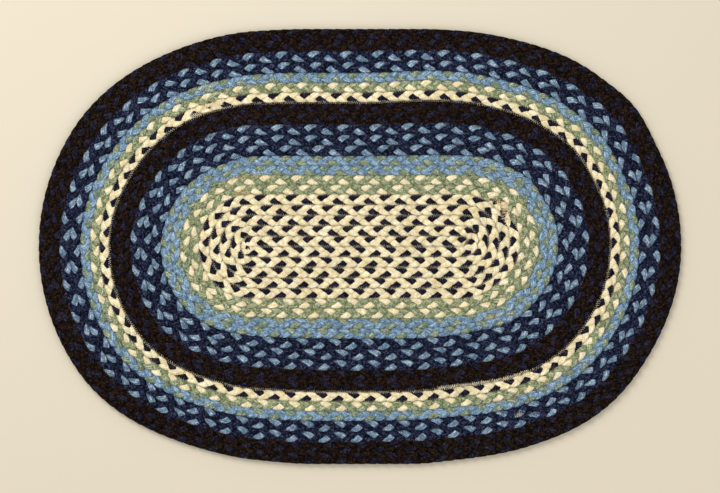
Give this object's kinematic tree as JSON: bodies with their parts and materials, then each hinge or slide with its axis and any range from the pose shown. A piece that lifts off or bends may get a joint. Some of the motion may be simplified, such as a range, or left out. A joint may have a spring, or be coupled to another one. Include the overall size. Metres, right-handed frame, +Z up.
{
  "type": "oval braided rug",
  "caption": "Flat oval rug of braided jute: a cream spiral coil with plaited rounds laced around it in bands of green, blue, navy, brown and cream.",
  "frame": {"origin": "middle of the rug on the surface it lies on", "axes": "+X along the rug's length, +Y across it towards the top of the picture, +Z up out of the surface"},
  "size_m": [0.7616, 0.5156, 0.0085],
  "materials": {
    "jute_cream": "undyed pale jute yarn, plaited, matt",
    "jute_green": "sage dyed jute yarn, plaited, matt",
    "jute_blue": "mid blue dyed jute yarn, plaited, matt",
    "jute_navy": "dark blue dyed jute yarn, plaited, matt",
    "jute_brown": "very dark brown dyed jute yarn, plaited, matt"
  },
  "bodies": {
    "root": {"centre_coil": "jute_cream", "ring_01_green": "jute_green", "ring_02_green": "jute_green", "ring_03_blue": "jute_blue", "ring_04_blue": "jute_blue", "ring_05_navy": "jute_navy", "ring_06_navy": "jute_navy", "ring_07_navy": "jute_navy", "ring_08_brown": "jute_brown", "ring_09_brown": "jute_brown", "ring_10_cream": "jute_cream", "ring_11_green": "jute_green", "ring_12_blue": "jute_blue", "ring_13_navy": "jute_navy", "ring_14_navy": "jute_navy", "ring_15_brown": "jute_brown", "ring_16_brown": "jute_brown"}
  },
  "joints": []
}
